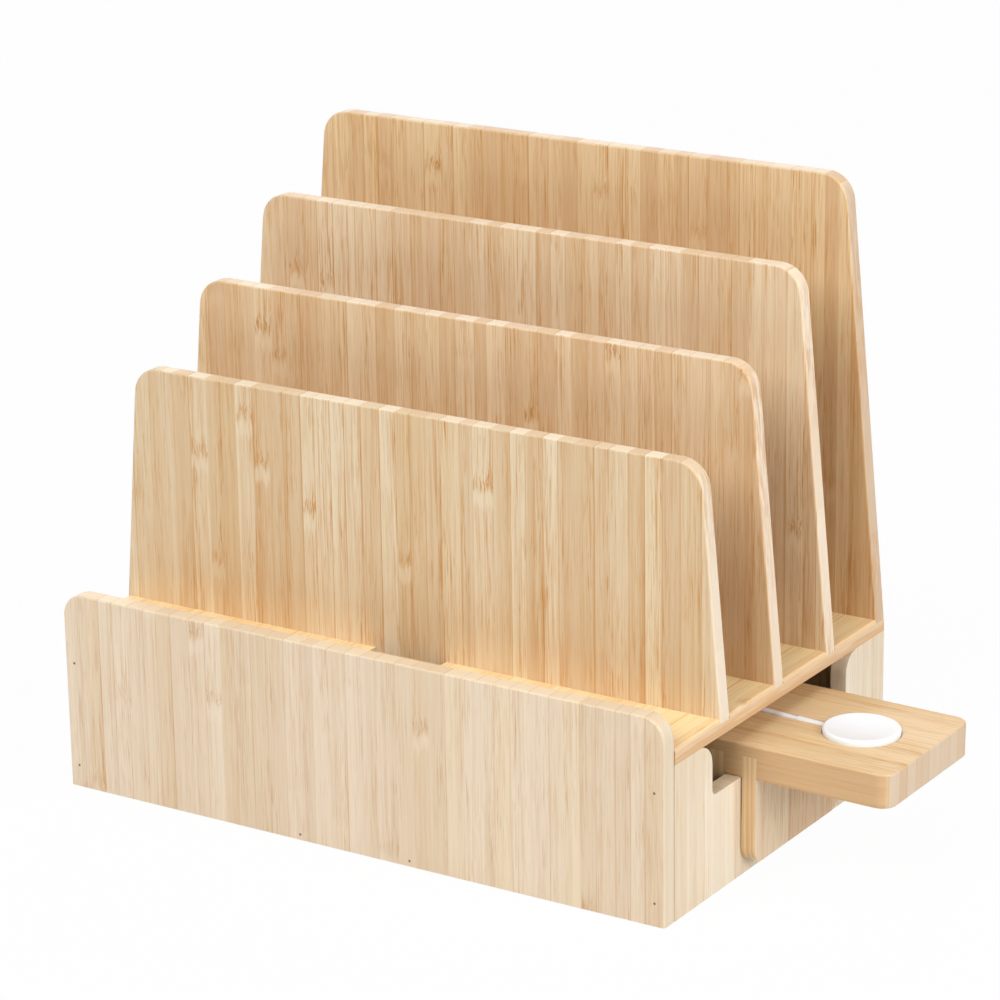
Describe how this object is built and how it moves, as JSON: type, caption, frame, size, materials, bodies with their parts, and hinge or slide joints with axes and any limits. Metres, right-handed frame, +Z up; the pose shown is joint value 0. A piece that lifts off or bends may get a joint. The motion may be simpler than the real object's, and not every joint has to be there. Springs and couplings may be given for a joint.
{
  "type": "charging station organizer",
  "caption": "Bamboo desk charging station: a cord box under a lift-off lid with upright dividers for phones and tablets, and a hook-on side tray holding a round charging puck.",
  "frame": {"origin": "middle of the box's underside, on the surface that it stands on", "axes": "+X to the right, the side the tray is hooked on; +Y to the back; +Z up"},
  "size_m": [0.3189, 0.1634, 0.2323],
  "materials": {
    "front_bamboo": "natural pale bamboo, satin lacquer",
    "side_bamboo": "natural pale bamboo, satin lacquer",
    "shelf_bamboo": "natural bamboo, satin lacquer",
    "divider_bamboo": "natural bamboo, satin lacquer",
    "tray_bamboo": "warm bamboo, satin lacquer",
    "brad_steel": "dull",
    "screw_steel": "zinc plated",
    "white_plastic": "gloss white",
    "cord_jacket": "soft white",
    "tie_fabric": "pale woven band",
    "plug_steel": "bright",
    "circuit_board": "solder mask",
    "ferrite": "sintered",
    "copper_wire": "enamelled copper",
    "magnet_plating": "nickel plated"
  },
  "bodies": {
    "base": {"front_panel": "front_bamboo", "left_side_panel": "side_bamboo", "right_side_panel": "side_bamboo", "back_panel": "side_bamboo", "bottom_panel": "side_bamboo", "front_brads": "brad_steel"},
    "lid": {"lid_shelf": "shelf_bamboo", "front_divider": "divider_bamboo", "second_divider": "divider_bamboo", "third_divider": "divider_bamboo", "back_divider": "divider_bamboo", "divider_screws": "screw_steel", "front_batten": "shelf_bamboo", "back_left_batten": "shelf_bamboo", "back_right_batten": "shelf_bamboo"},
    "tray": {"tray_board": "tray_bamboo", "outer_hook_plate": "tray_bamboo", "inner_hook_plate": "tray_bamboo", "puck_housing": "white_plastic", "puck_face": "white_plastic", "puck_circuit_board": "circuit_board", "puck_shield": "ferrite", "charging_coil": "copper_wire", "alignment_magnet": "magnet_plating", "strain_relief": "cord_jacket", "cord_lead": "cord_jacket", "cord_coil": "cord_jacket", "cord_tail": "cord_jacket", "cord_tie": "tie_fabric", "plug_housing": "white_plastic", "plug_shell": "plug_steel", "plug_tongue": "white_plastic"}
  },
  "joints": [
    {"name": "lid_lift", "type": "slide", "parent": "base", "child": "lid", "axis": [0, 0, 1], "range_m": [0, 0.08]},
    {"name": "tray_slide", "type": "slide", "parent": "base", "child": "tray", "axis": [0, 1, 0], "range_m": [-0.0182, 0.0135]}
  ]
}
